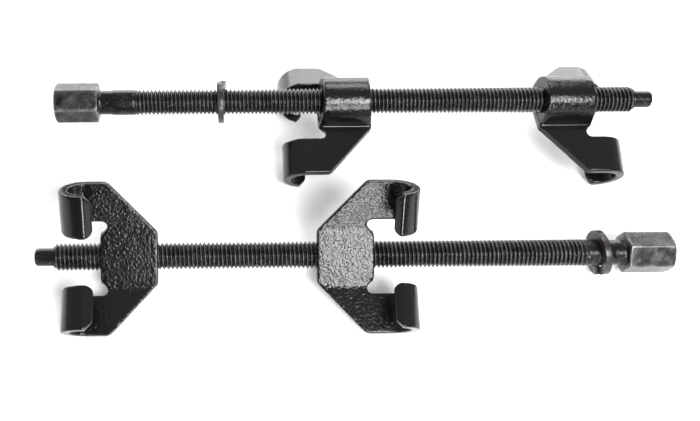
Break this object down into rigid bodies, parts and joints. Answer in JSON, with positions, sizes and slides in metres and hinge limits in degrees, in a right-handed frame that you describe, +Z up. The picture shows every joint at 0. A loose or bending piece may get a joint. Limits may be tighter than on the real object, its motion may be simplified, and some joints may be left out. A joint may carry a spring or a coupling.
{
  "type": "coil spring compressor",
  "caption": "Forcing-screw spring clamps: forged jaws with paired hooks grip a coil spring and are drawn together along a long screw with a hex head.",
  "frame": {"origin": "on the floor under the middle of the pair as it lies, halfway along and across their bounding box", "axes": "+X along both screws, from the far tool's head towards its tip; +Z up from the floor; +Y from the near tool, which lies on its back, towards the far tool, which stands on its hooks"},
  "size_m": [0.3842, 0.1976, 0.071],
  "materials": {
    "jaw_paint": "gloss",
    "screw_steel": "satin",
    "washer_steel": "semi-gloss"
  },
  "bodies": {
    "far_plain_jaw_body": {"far_plain_jaw": "jaw_paint"},
    "far_washer_body": {"far_lock_washer": "washer_steel"},
    "far_screw_body": {"far_forcing_screw": "screw_steel"},
    "far_threaded_jaw_body": {"far_threaded_jaw": "jaw_paint"},
    "near_plain_jaw_body": {"near_plain_jaw": "jaw_paint"},
    "near_washer_body": {"near_lock_washer": "washer_steel"},
    "near_screw_body": {"near_forcing_screw": "screw_steel"},
    "near_threaded_jaw_body": {"near_threaded_jaw": "jaw_paint"}
  },
  "joints": [
    {"name": "far_screw_slide", "type": "slide", "parent": "far_plain_jaw_body", "child": "far_washer_body", "axis": [1, 0, 0], "range_m": [-0.065, 0.057]},
    {"name": "far_screw_spin", "type": "hinge", "parent": "far_washer_body", "child": "far_screw_body", "pos_m": [0, 0.05366, 0.04277], "axis": [1, 0, 0], "range_deg": [-3600, 5760]},
    {"name": "far_threaded_jaw_travel", "type": "slide", "parent": "far_washer_body", "child": "far_threaded_jaw_body", "axis": [1, 0, 0], "range_m": [-0.0401, 0.0251]},
    {"name": "near_screw_slide", "type": "slide", "parent": "near_plain_jaw_body", "child": "near_washer_body", "axis": [-1, 0, 0], "range_m": [-0.051, 0.132]},
    {"name": "near_screw_spin", "type": "hinge", "parent": "near_washer_body", "child": "near_screw_body", "pos_m": [0, -0.04394, 0.015], "axis": [-1, 0, 0], "range_deg": [-3600, 5760]},
    {"name": "near_threaded_jaw_travel", "type": "slide", "parent": "near_washer_body", "child": "near_threaded_jaw_body", "axis": [-1, 0, 0], "range_m": [-0.0401, 0.0251]},
    {"name": "pair_spacing", "type": "slide", "parent": "far_plain_jaw_body", "child": "near_plain_jaw_body", "axis": [0, -1, 0], "range_m": [0, 0.12]}
  ],
  "couplings": [
    {"joint": "far_threaded_jaw_travel", "follows": "far_screw_spin", "m_per_rad": -0.00039789},
    {"joint": "near_threaded_jaw_travel", "follows": "near_screw_spin", "m_per_rad": -0.00039789}
  ]
}
